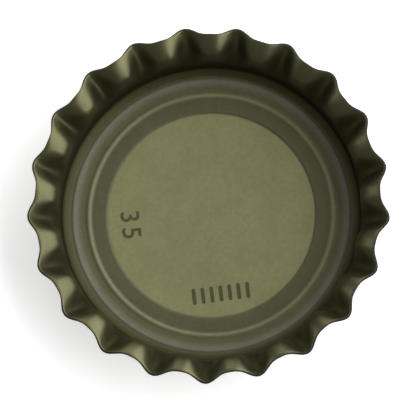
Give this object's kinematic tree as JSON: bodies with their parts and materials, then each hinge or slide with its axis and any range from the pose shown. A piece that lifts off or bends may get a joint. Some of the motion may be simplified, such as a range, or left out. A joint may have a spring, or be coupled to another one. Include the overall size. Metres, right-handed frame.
{
  "type": "crown bottle cap",
  "caption": "Unused crown bottle cap: a flat pressed tinplate panel with a fluted, flared skirt and a ridged sealing liner moulded inside it, lying mouth up.",
  "frame": {"origin": "centre of the flat panel's outer face, which the cap lies on", "axes": "+Z along the cap's axis, from the panel to the mouth; +X through one flute tip"},
  "size_m": [0.0319, 0.032, 0.006],
  "materials": {
    "lacquered_tinplate": "gold-olive lacquer on tinplate, satin gloss, bare steel on the cut edge",
    "liner_compound": "clear to greyish moulded sealing compound, smooth and glossy, the lacquer shows through it"
  },
  "bodies": {
    "root": {"crown_shell": "lacquered_tinplate", "sealing_liner": "liner_compound"}
  },
  "joints": []
}
